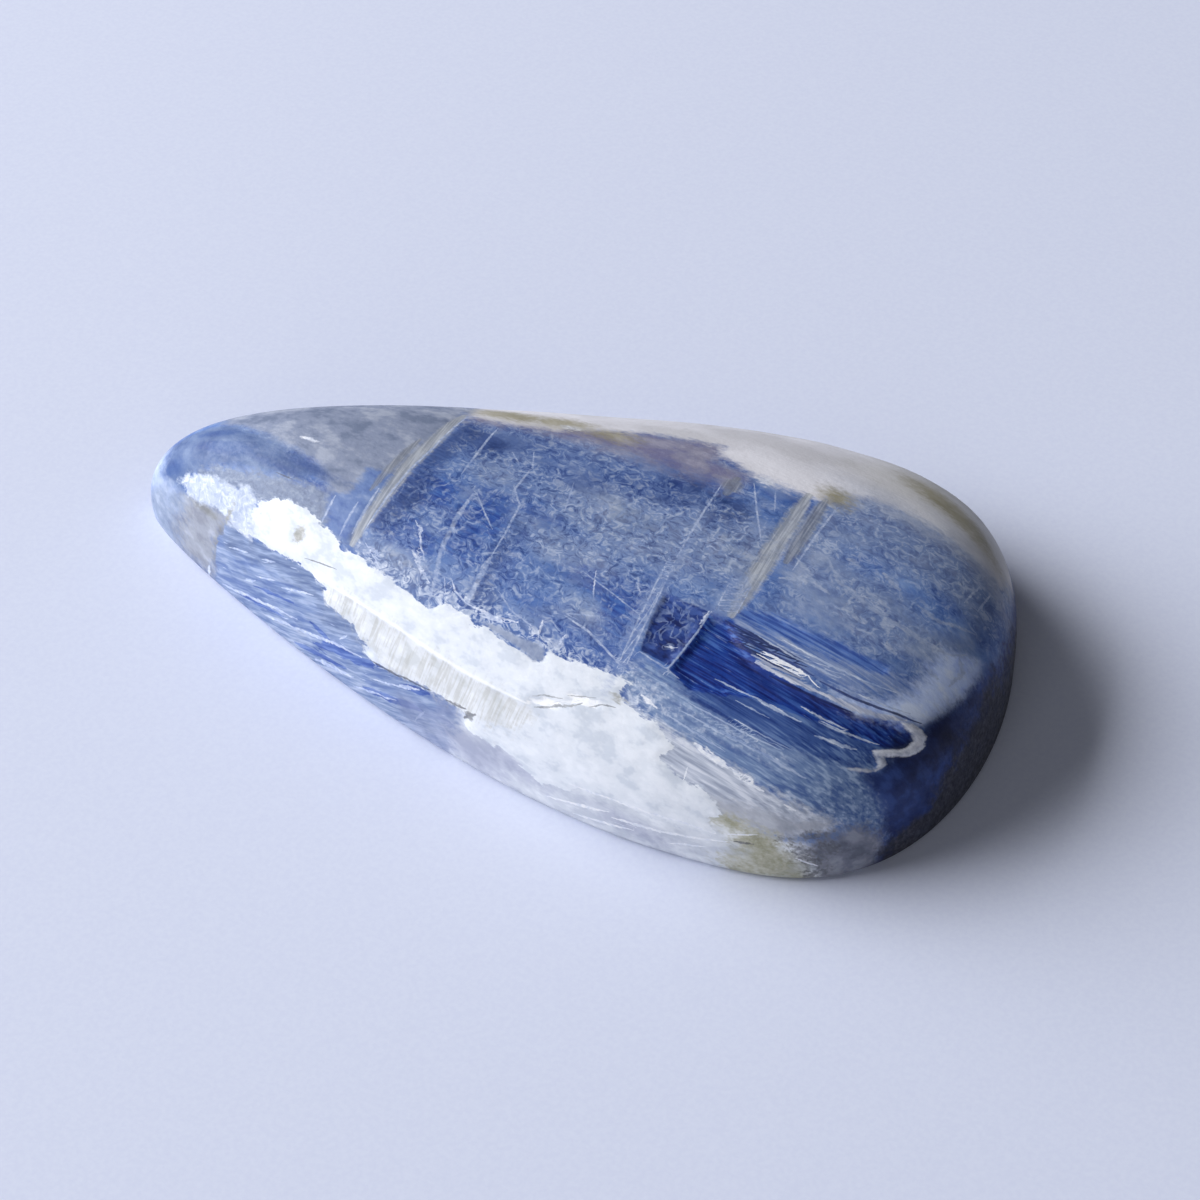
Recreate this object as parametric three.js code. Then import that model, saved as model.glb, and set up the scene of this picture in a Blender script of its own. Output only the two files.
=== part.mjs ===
// A polished kyanite cabochon: a pear-shaped stone cut from one crystal, domed above and ground flat below.
// Units are millimetres, +Z is up, +X runs from the pointed tip to the broad butt.
// The origin is the middle of the stone's box, on the flat base.
import * as THREE from 'three';

// Driving dimensions
const LENGTH = 40;             // tip to butt
const WIDTH = 22.5;            // across the widest place
const HEIGHT = 7.8;            // base to the top of the dome
const WIDEST_FROM_TIP = 28.8;  // where the outline is widest
const CREST_FROM_TIP = 14;     // where the ridge of the dome stands highest
const NOSE_RADIUS = 0.8;       // rounding of the tip, seen from above
const BASE_BEVEL = 0.25;       // chamfer ground round the base

// How full the curves are: 2 is a true ellipse, more is boxier
const DOME_FULLNESS = 2.4;     // cross-section of the dome
const TIP_FULLNESS = 2.4;      // ridge line from the tip up to the crest
const RIDGE_FULLNESS = 4.5;    // ridge line from the crest down to the butt
const BUTT_FULLNESS = 3.2;     // outline past the widest place
const FAR_FLANK_CURVE = 1.5;   // outline from the tip on the +Y side: 1 is straight
const NEAR_FLANK_CURVE = 1.75; // the same on the -Y side, which the cutter left fuller

// Fineness of the facets
const SPOKES = 84;             // points round the outline
const RINGS = 20;              // steps from the crown to the rim
const CROWN_FROM_TIP = 22;     // where the spokes meet on top

const KYANITE_BLUE = 0x5b78b4;

/** Half width of the outline at a distance from the tip, on the +Y side (1) or the -Y side (-1). */
function halfWidth(fromTip, side) {
  if (fromTip >= WIDEST_FROM_TIP) {
    const beyond = (fromTip - WIDEST_FROM_TIP) / (LENGTH - WIDEST_FROM_TIP);
    return (WIDTH / 2) * Math.sqrt(Math.max(0, 1 - beyond ** BUTT_FULLNESS));
  }
  const short = 1 - fromTip / WIDEST_FROM_TIP;
  const flank = (WIDTH / 2) * (1 - short ** (side > 0 ? FAR_FLANK_CURVE : NEAR_FLANK_CURVE));
  const nose = Math.sqrt(2 * NOSE_RADIUS * fromTip) * short ** 2;
  return Math.hypot(flank, nose);
}

/** Height of the ridge above the bevel, as a share of the dome: 1 at the crest, 0 at the tip and butt. */
function ridgeShare(fromTip) {
  if (fromTip < CREST_FROM_TIP) {
    const short = 1 - fromTip / CREST_FROM_TIP;
    return Math.max(0, 1 - short ** TIP_FULLNESS) ** (1 / TIP_FULLNESS);
  }
  const beyond = (fromTip - CREST_FROM_TIP) / (LENGTH - CREST_FROM_TIP);
  return Math.max(0, 1 - beyond ** RIDGE_FULLNESS) ** (1 / RIDGE_FULLNESS);
}

/** Height of the domed surface: a full arch across at every place along the ridge, on the bevel. */
function domeHeight(fromTip, y) {
  const across = Math.min(1, Math.abs(y) / Math.max(halfWidth(fromTip, y), 1e-6));
  const arch = (1 - across ** DOME_FULLNESS) ** (1 / DOME_FULLNESS);
  return BASE_BEVEL + (HEIGHT - BASE_BEVEL) * ridgeShare(fromTip) * arch;
}

/** Outline point of one spoke, as distance from the tip and y; spoke 0 is the tip itself. */
function outlinePoint(spoke) {
  const angle = (2 * Math.PI * spoke) / SPOKES;
  const fromTip = (LENGTH / 2) * (1 - Math.cos(angle));
  const side = Math.sign(Math.sin(angle));
  return [fromTip, side * halfWidth(fromTip, side)];
}

/** The whole closed skin: crown point, rings out to the rim, the bevel, and the flat base. */
function stoneGeometry() {
  const points = [];
  const triangles = [];
  const addPoint = (fromTip, y, z) => points.push(fromTip - LENGTH / 2, y, z) / 3 - 1;
  const outline = Array.from({ length: SPOKES }, (_, spoke) => outlinePoint(spoke));
  const next = (spoke) => (spoke + 1) % SPOKES;

  const crown = addPoint(CROWN_FROM_TIP, 0, domeHeight(CROWN_FROM_TIP, 0));
  const rings = [];
  for (let ring = 1; ring <= RINGS; ring += 1) {
    const reach = Math.sin((Math.PI / 2) * (ring / RINGS));
    rings.push(outline.map(([fromTip, y]) => {
      const ringFromTip = CROWN_FROM_TIP + (fromTip - CROWN_FROM_TIP) * reach;
      const height = ring === RINGS ? BASE_BEVEL : domeHeight(ringFromTip, y * reach);
      return addPoint(ringFromTip, y * reach, height);
    }));
  }
  const inset = 1 - BASE_BEVEL / (WIDTH / 2);
  rings.push(outline.map(([fromTip, y]) => {
    const baseFromTip = CROWN_FROM_TIP + (fromTip - CROWN_FROM_TIP) * inset;
    return addPoint(baseFromTip, y * inset, 0);
  }));

  // Spokes run tip, +Y side, butt, -Y side, so a ring turns clockwise seen from above.
  for (let spoke = 0; spoke < SPOKES; spoke += 1) {
    triangles.push(crown, rings[0][next(spoke)], rings[0][spoke]);
    for (let ring = 1; ring < rings.length; ring += 1) {
      const [inner, outer] = [rings[ring - 1], rings[ring]];
      triangles.push(inner[spoke], inner[next(spoke)], outer[spoke]);
      triangles.push(outer[spoke], inner[next(spoke)], outer[next(spoke)]);
    }
  }

  // The base is a ladder of strips from the far edge to the near edge.
  const base = rings[rings.length - 1];
  for (let rung = 0; rung < SPOKES / 2; rung += 1) {
    const [far, farNext] = [base[rung], base[rung + 1]];
    const [near, nearNext] = [base[next(SPOKES - rung - 1)], base[SPOKES - rung - 1]];
    if (far !== near) triangles.push(far, farNext, near);
    if (farNext !== nearNext) triangles.push(near, farNext, nearNext);
  }

  const geometry = new THREE.BufferGeometry();
  geometry.setAttribute('position', new THREE.Float32BufferAttribute(points, 3));
  geometry.setIndex(triangles);
  geometry.computeVertexNormals();
  return geometry;
}

const polishedKyanite = new THREE.MeshStandardMaterial({
  name: 'polished kyanite',
  color: KYANITE_BLUE,
  roughness: 0.2,
  metalness: 0,
});

const stone = new THREE.Mesh(stoneGeometry(), polishedKyanite);
stone.name = 'kyanite_cabochon';

const part = new THREE.Group();
part.add(stone);

export default part;
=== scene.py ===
import math

import bpy
import numpy as np
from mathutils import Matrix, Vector


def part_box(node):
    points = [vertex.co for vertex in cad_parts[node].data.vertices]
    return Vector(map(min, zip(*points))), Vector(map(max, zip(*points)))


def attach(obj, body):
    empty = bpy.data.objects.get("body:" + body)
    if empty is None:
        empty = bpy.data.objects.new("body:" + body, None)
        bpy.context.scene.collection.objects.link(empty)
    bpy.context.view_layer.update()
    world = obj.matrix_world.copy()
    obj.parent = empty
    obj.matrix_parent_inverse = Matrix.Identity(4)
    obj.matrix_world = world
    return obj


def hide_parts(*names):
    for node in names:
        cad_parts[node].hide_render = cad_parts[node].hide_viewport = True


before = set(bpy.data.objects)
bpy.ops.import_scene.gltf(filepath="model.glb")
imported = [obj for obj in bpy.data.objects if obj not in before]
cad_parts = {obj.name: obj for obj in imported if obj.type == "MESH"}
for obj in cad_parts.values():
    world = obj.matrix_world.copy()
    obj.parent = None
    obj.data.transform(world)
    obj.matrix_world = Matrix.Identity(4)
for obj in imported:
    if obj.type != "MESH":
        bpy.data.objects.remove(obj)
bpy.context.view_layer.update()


# ---------------------------------------------------------------------------
# The blank. One crystal of kyanite, sawn to a pear and ground to a dome on a
# flat back. The shape is the cutter's: an outline, a ridge along the middle
# and a full arch across, with a narrow chamfer ground round the base.
# ---------------------------------------------------------------------------
MM = 0.001
box_low, box_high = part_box("kyanite_cabochon")
LENGTH = (box_high[0] - box_low[0]) / MM
WIDTH = (box_high[1] - box_low[1]) / MM
HEIGHT = (box_high[2] - box_low[2]) / MM
WIDEST = 0.72 * LENGTH       # from the tip
CREST = 0.35 * LENGTH        # from the tip
CROWN = 0.55 * LENGTH        # from the tip, where the skin's grid is centred
NOSE_RADIUS = 0.8
BEVEL = 0.25
FAR_CURVE = 1.5              # outline from the tip on the far side: 1 is straight
NEAR_CURVE = 1.75            # and on the near side, which the cutter left fuller
BUTT_FULLNESS = 3.2          # outline past the widest place
DOME_FULLNESS = 2.4          # section across the dome
TIP_FULLNESS = 2.4           # ridge from the tip up to the crest
RIDGE_FULLNESS = 4.5         # ridge from the crest down to the butt
GIRTH = 15.0                 # from the ridge down to the base at the widest place, along the skin
RINGS = 150                  # grid steps from the crown to the rim


def half_width(along, side):
    """Half width of the outline at a distance from the tip. Towards the tip it is the half width times
    1 minus a power of the distance left, rounded by a small nose; towards the butt it is a full oval."""
    left = np.clip(1 - along / WIDEST, 0, 1)
    beyond = np.clip((along - WIDEST) / (LENGTH - WIDEST), 0, 1)
    flank = WIDTH / 2 * (1 - left ** np.where(side > 0, FAR_CURVE, NEAR_CURVE))
    nose = np.sqrt(2 * NOSE_RADIUS * np.clip(along, 0, None)) * left ** 2
    butt = WIDTH / 2 * np.sqrt(1 - beyond ** BUTT_FULLNESS)
    return np.where(along < WIDEST, np.hypot(flank, nose), butt)


def half_arch(share, fullness):
    """Height of a superellipse: the share and the height, each to the power of the fullness, add up to 1.
    A fullness of 2 is a circle, and more is boxier."""
    return (1 - np.clip(share, 0, 1) ** fullness) ** (1 / fullness)


def dome_height(along, share):
    """Height of the skin: the ridge's height, a half arch each way from the crest, times a half arch of
    the share of the half width, all standing on the chamfer."""
    rise = half_arch(1 - along / CREST, TIP_FULLNESS)
    fall = half_arch((along - CREST) / (LENGTH - CREST), RIDGE_FULLNESS)
    arch = half_arch(np.abs(share), DOME_FULLNESS)
    return BEVEL + (HEIGHT - BEVEL) * np.where(along < CREST, rise, fall) * arch


def skin_grid(rings):
    """A square grid bent to a disc, so that it has no pole: each square ring becomes a circle, and its
    points keep their share of the way round. Returns reach from the middle, 0 to 1, and the angle."""
    side = np.linspace(-1, 1, 2 * rings + 1)
    a, b = np.meshgrid(side, side, indexing="ij")
    lying = np.abs(a) > np.abs(b)
    reach = np.where(lying, a, b)
    safe = np.where(reach == 0, 1, reach)
    angle = np.where(lying, math.pi / 4 * b / safe, math.pi / 2 - math.pi / 4 * a / safe)
    angle = np.where(reach < 0, angle + math.pi, angle)
    return np.abs(reach), angle


# The outline is drawn out from the crown to the rim, closer together where the skin turns down.
reach, angle = skin_grid(RINGS)
rim_along = LENGTH / 2 * (1 + np.cos(angle))
rim_side = np.where(np.sin(angle) >= 0, 1.0, -1.0)
spread = np.sin(reach * math.pi / 2)
along = np.clip(CROWN + (rim_along - CROWN) * spread, 0, LENGTH)
rim_y = rim_side * half_width(rim_along, rim_side)
across = rim_y * spread
share = np.clip(across / np.maximum(half_width(along, rim_side), 1e-6), -1, 1)
share = np.where(reach == 1, rim_side, share)
height = np.where(reach == 1, BEVEL, dome_height(along, share))
skin = np.stack([along - LENGTH / 2, across, height], axis=-1).reshape(-1, 3)

# Where each point lies on the skin, as a cutter would tape it: mm from the tip, and mm down from the
# ridge, plus to the far flank and minus to the near one.
taped = np.stack([along, GIRTH * 2 / math.pi * np.arcsin(share)], axis=-1).reshape(-1, 2)

# The crystal's own directions: the blades lie 12 degrees off the stone's long axis and dip to the butt.
BLADE_TURN = math.radians(-12)
BLADE_DIP = math.radians(-10)
blade_x = skin[:, 0] * math.cos(BLADE_TURN) + skin[:, 1] * math.sin(BLADE_TURN)
blade_y = skin[:, 1] * math.cos(BLADE_TURN) - skin[:, 0] * math.sin(BLADE_TURN)
crystal = np.stack([blade_x, blade_y, skin[:, 2] - blade_x * math.tan(BLADE_DIP)], axis=-1)


# ---------------------------------------------------------------------------
# The blue body. Clear deep blue shows where the stone is sound, and a snowy
# grey haze where it is full of tiny cracks, crushed like ice. Kyanite's colour
# lies in zones with stepped edges and in clouds.
# ---------------------------------------------------------------------------
FAR = 99.0                   # mm, further than any marking reaches
NOISE_CELLS = 32             # a noise repeats after this many cells
BLADE_LINE = (0.98, -0.19)   # along the blades, on the taped skin
BLADE_CROSS = (0.19, 0.98)

# Each zone keeps how far inside it every point of the skin is, and the layers of colour laid there.
fields = {}
layers = []


def soft_noise(points, cell, seed):
    """Smooth noise from -1 to 1: random values at the corners of cells of the given size in mm, blended
    across each cell by an S-curve."""
    table = np.random.default_rng(seed).uniform(-1, 1, [NOISE_CELLS] * 3)
    place = points / np.asarray(cell, float)
    corner = np.floor(place).astype(int)
    part = place - corner
    part = part * part * (3 - 2 * part)
    total = np.zeros(len(points))
    for i in (0, 1):
        for j in (0, 1):
            for k in (0, 1):
                weight = np.abs(1 - i - part[:, 0]) * np.abs(1 - j - part[:, 1]) * np.abs(1 - k - part[:, 2])
                total += weight * table[tuple(((corner + (i, j, k)) % NOISE_CELLS).T)]
    return total


def block_noise(points, cell, seed):
    """One random value from -1 to 1 for each cell, as cleavage steps break: no blending."""
    table = np.random.default_rng(seed).uniform(-1, 1, [NOISE_CELLS] * 3)
    corner = np.floor(points / np.asarray(cell, float)).astype(int)
    return table[tuple((corner % NOISE_CELLS).T)]


def from_tip(points):
    """Taped places in mm, from pairs of mm from the tip and hundredths of the way from ridge to base."""
    return np.array([(x, GIRTH * t / 100) for x, t in points], float)


def patch(name, outline, jag=0.0, seed=1):
    """Distance in mm inside an outline, minus outside it: the nearest side gives the distance, and the
    count of sides crossed on the way to the butt gives the sign. jag breaks the edge in cleavage steps."""
    corners = from_tip(outline)
    nearest = np.full(len(taped), FAR)
    inside = np.zeros(len(taped), bool)
    for start, end in zip(corners, np.roll(corners, -1, axis=0)):
        run = end - start
        part = np.clip((taped - start) @ run / max(run @ run, 1e-9), 0, 1)
        nearest = np.minimum(nearest, np.linalg.norm(taped - start - part[:, None] * run, axis=1))
        if start[1] != end[1]:
            spans = (start[1] > taped[:, 1]) != (end[1] > taped[:, 1])
            crossing = start[0] + (taped[:, 1] - start[1]) * (end[0] - start[0]) / (end[1] - start[1])
            inside ^= spans & (taped[:, 0] < crossing)
    steps = block_noise(crystal, (0.9, 0.3, 0.5), seed) + soft_noise(crystal, (0.7, 0.35, 0.35), seed)
    fields[name] = np.where(inside, nearest, -nearest) + jag * steps


def blobs(name, *spots):
    """Distance in mm inside the nearest of some soft oval spots, minus outside. Each has its middle, in
    the same measures as an outline, and its half length and half breadth in mm, lying along the blades."""
    found = np.full(len(taped), -FAR)
    for x, t, half_long, half_broad in spots:
        off = taped - (x, GIRTH * t / 100)
        long = off @ BLADE_LINE / half_long
        broad = off @ BLADE_CROSS / half_broad
        found = np.maximum(found, (1 - np.hypot(long, broad)) * min(half_long, half_broad))
    fields[name] = found


def paint(field, soft, rough, pattern, dark, middle, light, cover=1.0, shown=None):
    """Notes a layer of colour: where, how soft and how rough its edge is, in mm or, for fine marks, against
    their half width, three tones shared out by a pattern, how far they cover, and a second pattern with
    two limits that it shows between."""
    layers.append((field, soft, rough, pattern, dark, middle, light, cover, shown))


fields["body"] = np.full(len(taped), FAR)
paint("body", 0.5, 0.0, "bands", "#3c5a9c", "#5474ae", "#6f89b8")
paint("body", 0.5, 0.0, "cloud", "#7486aa", "#7f90b2", "#8b9bba", 0.6, shown=("mist", 0.46, 0.64))
blobs("haze", (23.6, -4, 4.2, 1.6), (27.4, -3, 2.2, 1.7), (14.6, -45, 2.0, 0.7), (16.9, 3, 1.0, 0.9),
      (23.4, -36, 0.9, 0.5), (19.4, 22, 2.2, 0.8), (31.0, 6, 0.8, 1.6), (22.0, -20, 2.6, 0.7))
paint("haze", 0.7, 1.2, "cloud", "#7f8ba3", "#98a2b4", "#b3bac6", 0.8)
patch("butt_haze", [(30.9, 30), (36, 31), (38.7, 28), (38.9, 5), (38.9, -20), (37.6, -30), (36, -20),
    (33, -19), (30.6, -16), (30.4, 5)], jag=0.2, seed=52)
paint("butt_haze", 0.8, 1.2, "cloud", "#7485ab", "#8999b9", "#a2aec6", 0.85)
patch("upper_blue", [(14.3, 26), (14.2, 4), (16, 6), (18, 2), (21.4, 1), (22, 6), (25.6, 3), (25.6, 22),
    (22, 24), (18, 26)], jag=0.1, seed=24)
paint("upper_blue", 0.8, 1.0, "cloud", "#465a8c", "#566b9a", "#6a7ca4", 0.85)
blobs("deep_blue", (13.9, -15, 0.9, 2.0), (14.8, -14, 1.0, 1.2), (17.1, -22, 1.2, 1.8),
      (17.6, -30, 0.8, 1.0), (24.9, -30, 1.3, 1.5), (24.4, -25.5, 1.2, 0.5), (36.85, -28.5, 0.7, 0.35),
      (25.4, -25, 0.5, 0.7), (13.7, -31, 1.0, 1.1), (18.95, -28, 0.5, 1.4), (22.9, -24.8, 1.0, 0.3),
      (22.6, -43, 1.0, 0.25), (14.9, -34, 0.9, 0.8))
paint("deep_blue", 0.5, 1.4, "streaks", "#173684", "#274a98", "#4068ae", 0.9)
blobs("shade", (14.0, -18, 0.6, 1.7), (13.5, -30, 0.6, 1.0), (24.7, 10.5, 1.2, 1.0), (22.9, 9, 1.4, 0.6),
      (18.75, -27, 0.35, 1.4), (18.7, -42, 0.6, 0.8), (14.7, 12, 0.5, 2.4), (26.8, 8, 1.2, 0.9),
      (16.2, 10, 0.5, 0.8))
paint("shade", 0.5, 1.0, "cloud", "#233768", "#304478", "#465a8a", 0.92)
blobs("shoulder_blue", (36.8, -1, 1.3, 0.9), (35.6, 3, 1.2, 0.6), (33.7, 4.5, 0.9, 0.4),
      (39.3, 4, 0.35, 2.4))
paint("shoulder_blue", 0.8, 0.7, "cloud", "#4068b4", "#5880c6", "#789cd6", 0.88)
paint("body", 0.5, 0.0, "fleck", "#2c4482", "#6880b0", "#b0bcd2", 0.5, shown=("icy", 0.34, 0.54))
patch("mauve", [(14.4, 36), (14.5, 27), (17, 26.5), (19.6, 25), (22, 21.5), (25.2, 18), (26.6, 16),
    (27.2, 24), (25.6, 27), (25.4, 36), (22.1, 37)], jag=0.12, seed=25)
paint("mauve", 0.75, 0.9, "cloud", "#7c7690", "#8e8896", "#a099a4", 0.82)

# ---------------------------------------------------------------------------
# The far side: the streaked blue flank, the cream rim along the shoulder over
# it, and the ochre iron stain in the cream.
# ---------------------------------------------------------------------------
patch("far_flank", [(1.2, 52), (4, 50), (8, 58), (12, 62), (15, 58), (18, 66), (24, 70), (32, 66), (37, 58),
    (39, 50), (41, 112), (0, 112)], jag=0.16, seed=53)
paint("far_flank", 0.3, 1.0, "flank_streaks", "#5c74aa", "#8094bc", "#a4b2ce", 0.9)
patch("cream_rim", [(14.1, 46), (14.4, 31), (16.3, 29), (18.3, 30), (19.3, 33), (21.9, 36.5), (25.35, 36),
    (25.5, 30), (27, 25), (28.2, 22), (30.3, 20.5), (31.2, 25), (32.2, 29.5), (34.8, 30), (37.4, 31),
    (38.6, 36), (39.0, 60), (37.6, 78), (33, 86), (27, 80), (21, 84), (17, 72), (14.5, 66)],
    jag=0.08, seed=12)
paint("cream_rim", 0.35, 0.7, "soft_cloud", "#cccacc", "#dad8db", "#e6e4e7")
patch("cream_dull", [(31, 44), (33, 34), (38, 33), (39.2, 60), (36, 74), (32, 60)], jag=0.2, seed=36)
paint("cream_dull", 1.7, 0.8, "soft_cloud", "#c2c0b8", "#cdcbc6", "#d7d6d3", 0.8)
blobs("rim_haze", (33.4, 30, 2.4, 0.7), (36.9, 31, 2.4, 0.9), (31.4, 26, 0.7, 0.7))
paint("rim_haze", 0.8, 0.9, "cloud", "#a8afbe", "#b6bcc9", "#c4c9d3", 0.55)
blobs("ochre", (15.8, 38, 1.9, 0.8), (18.2, 36, 1.5, 0.7), (20.6, 31.5, 1.0, 0.45), (31.0, 24.5, 0.7, 0.5),
      (35.6, 46, 2.4, 0.9), (25.5, 64, 1.6, 0.6))
paint("ochre", 0.5, 1.0, "cloud", "#88805a", "#989070", "#aaa48c", 0.82)
blobs("rim_white", (18.75, 33, 0.4, 0.22), (27.9, 22.8, 0.3, 0.2))
paint("rim_white", 0.2, 0.8, "mottle", "#c4c8d0", "#d8dce4", "#eceef2", 0.7)

# ---------------------------------------------------------------------------
# The tip: a deeper blue cap over the nose, painted darker where the window
# lights it most and paler along its edge with a painted highlight, a beige
# wedge under it, and hazy grey above up to the first parting crack.
# ---------------------------------------------------------------------------
patch("top_grey", [(3.4, 60), (3.6, 12), (5.2, 2), (6.5, -7.5), (9.4, -19), (10.2, -30), (10.6, -46),
    (12.3, -46), (13.3, -7.5), (14.2, 28), (13.8, 49), (9, 62)], jag=0.12, seed=15)
paint("top_grey", 0.6, 0.9, "cloud", "#737d92", "#8a92a6", "#a6acba", 0.95)
patch("side_blue", [(10.4, -30), (10.5, -45), (11.9, -46), (12.6, -30), (13.1, -12), (11.6, -13),
    (11.4, -27)], jag=0.06, seed=37)
paint("side_blue", 0.2, 0.5, "cloud", "#4f6aa6", "#657fb2", "#8498c0", 0.85)
# Deep blue, painted darker still as shade where the window lights the tip most, and the deeper spots more so.
patch("tip_blue", [(1.2, -5), (1.2, -45), (1.6, -55), (2.6, -60), (3.0, -52), (3.4, -45), (4.2, -37),
    (5, -34), (7.2, -31), (8.6, -27.5), (10.0, -22), (8.2, -17), (6.6, -8), (4.6, 4), (3, 9), (2, 8)],
    jag=0.15, seed=13)
paint("tip_blue", 0.6, 0.8, "bands", "#465c86", "#5a6e94", "#7082a2", 0.9)
blobs("tip_deep", (1.85, -42, 0.6, 1.6), (4.6, -19, 1.5, 0.9), (7.4, -25.5, 1.2, 0.2),
      (9.2, -21.5, 0.9, 0.16), (3.9, -3, 1.0, 0.6))
paint("tip_deep", 0.35, 0.7, "bands", "#304a84", "#3c588e", "#4f6898", 0.75)
# Partly painted highlight: pale along the nose's edge, where it faces the window, and pale low down on the
# near side.
patch("tip_pale", [(0, 8), (1.1, 4), (1.1, -48), (2.5, -60), (3.2, -63), (2.4, -80), (2.0, -112), (0, -112)],
    jag=0.1, seed=38)
paint("tip_pale", 0.5, 0.7, "cloud", "#9cabca", "#b2bfd8", "#ccd5e6", 0.9)
blobs("tip_lilac", (0.7, -80, 1.0, 3.0), (1.7, -88, 1.1, 2.4), (2.4, -70, 0.8, 1.2))
paint("tip_lilac", 0.7, 0.9, "cloud", "#79869f", "#8b98af", "#a4afc2", 0.85)
patch("tip_fringe", [(3.3, -43), (4.4, -36), (6.5, -33), (8.8, -30), (10.4, -31), (10.7, -46), (8, -47),
    (5, -48)], jag=0.2, seed=28)
paint("tip_fringe", 0.4, 1.2, "mottle", "#707a8e", "#828ca0", "#9ba4b2", 0.85)
patch("tip_beige", [(2.9, -63), (4.2, -60), (5.8, -62), (5.9, -67), (5.2, -80), (4.8, -100), (2.1, -100),
    (2.5, -82)], jag=0.15, seed=14)
paint("tip_beige", 0.8, 1.4, "cloud", "#96979c", "#a7a9ae", "#bec1c8", 0.85)


def marks(name, *strokes, fine=True):
    """Thin marks, each its half width in mm and the points it runs through, narrower at its ends. Kept
    is how far inside the nearest one a point is and, for fine marks, how far to its side as a share of
    its half width, which runs straight through zero and so draws marks finer than the mesh."""
    gap = np.full(len(taped), FAR)
    depth = np.full(len(taped), -FAR)
    side = np.full(len(taped), FAR)
    for half, route in strokes:
        points = from_tip(route)
        runs = np.diff(points, axis=0)
        lengths = np.linalg.norm(runs, axis=1)
        passed = np.cumsum(lengths) - lengths
        for start, run, length, before in zip(points[:-1], runs, lengths, passed):
            away = taped - start
            part = np.clip(away @ run / length ** 2, 0, 1)
            off = np.linalg.norm(away - part[:, None] * run, axis=1)
            done = (before + part * length) / lengths.sum()
            width = half * (1 - 0.6 * np.abs(2 * done - 1) ** 4)
            beside = (away[:, 0] * run[1] - away[:, 1] * run[0]) / length
            nearer = off < gap
            gap = np.where(nearer, off, gap)
            depth = np.where(nearer, width - off, depth)
            side = np.where(nearer, beside / width, side)
    fields[name] = depth
    if fine:
        fields[name + "_side"] = side


marks("tip_beige_dark", (0.3, [(3.3, -64), (4.0, -65), (4.9, -67)]),
      (0.1, [(5.35, -68), (5.0, -80), (4.75, -93)]), fine=False)
paint("tip_beige_dark", 0.25, 0.7, "cloud", "#78786f", "#87877f", "#9c9c96", 0.6)

# ---------------------------------------------------------------------------
# The near flank under the white band: splintery blades that lie along the
# flank and rise a little, cleaved off in steps near the base.
# ---------------------------------------------------------------------------
patch("near_flank", [(5.4, -68), (11.05, -64), (14.25, -78.5), (19.2, -80.5), (19.2, -87), (18.6, -92),
    (18.4, -112), (6, -112), (4.8, -100)], jag=0.16, seed=16)
paint("near_flank", 0.06, 0.4, "flank_streaks", "#687dac", "#8496ba", "#a4b2ce")
patch("flank_grey", [(5.5, -67), (11.4, -64), (11.6, -73), (13.6, -74), (13.9, -82), (11.6, -83),
    (10.6, -77), (8.5, -74), (5.6, -80)], jag=0.15, seed=29)
paint("flank_grey", 0.25, 0.7, "flank_streaks", "#65769a", "#7c8cac", "#9cabc8", 0.85)
patch("flank_low", [(5, -100), (8.4, -94.6), (10.6, -92), (14, -94.5), (18.6, -90), (18.6, -112), (5, -112)],
    jag=0.08, seed=39)
paint("flank_low", 0.15, 0.6, "flank_streaks", "#6c80a8", "#90a0be", "#bac4d8", 0.8)
paint("near_flank", 0.06, 0.3, "mottle", "#b8c4e0", "#ccd6ec", "#e4eaf6", 0.75,
      shown=("flank_dashes", 0.70, 0.78))
marks("flank_deep", (0.28, [(11.6, -90.2), (13, -88), (14.1, -86.4)]),
      (0.12, [(13.4, -86.5), (14.6, -84.2)]), (0.16, [(10.8, -86), (11.8, -88)]),
      (0.2, [(15.9, -86), (17.1, -83.2)]), (0.12, [(10.9, -93.5), (11.9, -91)]),
      (0.18, [(13.8, -96.5), (16.8, -91)]), (0.12, [(9.8, -98.5), (12.6, -94.4)]),
      (0.1, [(7.4, -88), (9.6, -83)]), (0.08, [(6.5, -96.6), (9.0, -92)]))
paint("flank_deep", 0.14, 0.4, "flank_streaks", "#33509c", "#4a66ac", "#6a84c0", 0.85)
marks("flank_pale", (0.08, [(5.3, -98.6), (7.0, -94.6), (8.4, -91.5), (9.8, -88.8)]),
      (0.08, [(8.2, -96.6), (10.4, -91.6), (12, -87.6), (13.5, -85.5)]),
      (0.06, [(5.9, -77.8), (6.8, -75.2)]), (0.07, [(7.9, -73), (8.4, -71.4)]),
      (0.05, [(7.5, -82.6), (8.5, -79.2)]), (0.06, [(9.1, -79.5), (10.7, -74.2)]),
      (0.07, [(6.8, -88.4), (7.3, -85.8)]), (0.05, [(14.4, -90.5), (16.2, -86)]),
      (0.07, [(15.7, -86.5), (16.6, -84)]), (0.05, [(16.6, -95.5), (17.0, -91)]),
      (0.1, [(11, -99), (13, -95.8)]), (0.1, [(4.3, -99.5), (4.4, -96)]),
      (0.05, [(12.4, -84), (12.7, -81.4)]), (0.05, [(13.2, -98.5), (15.4, -93.5)]))
paint("flank_pale", 0.4, 0.9, "mottle", "#b4c0de", "#ccd6ec", "#eaeff8", 0.8)
patch("flank_end", [(18.0, -81.5), (19.4, -81.5), (19.4, -88), (18.8, -94), (18.6, -104), (15.6, -98),
    (15.4, -91), (17.2, -88)], jag=0.12, seed=40)
paint("flank_end", 0.4, 0.9, "cloud", "#7e89a8", "#949dba", "#acb3cb", 0.65)

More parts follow.
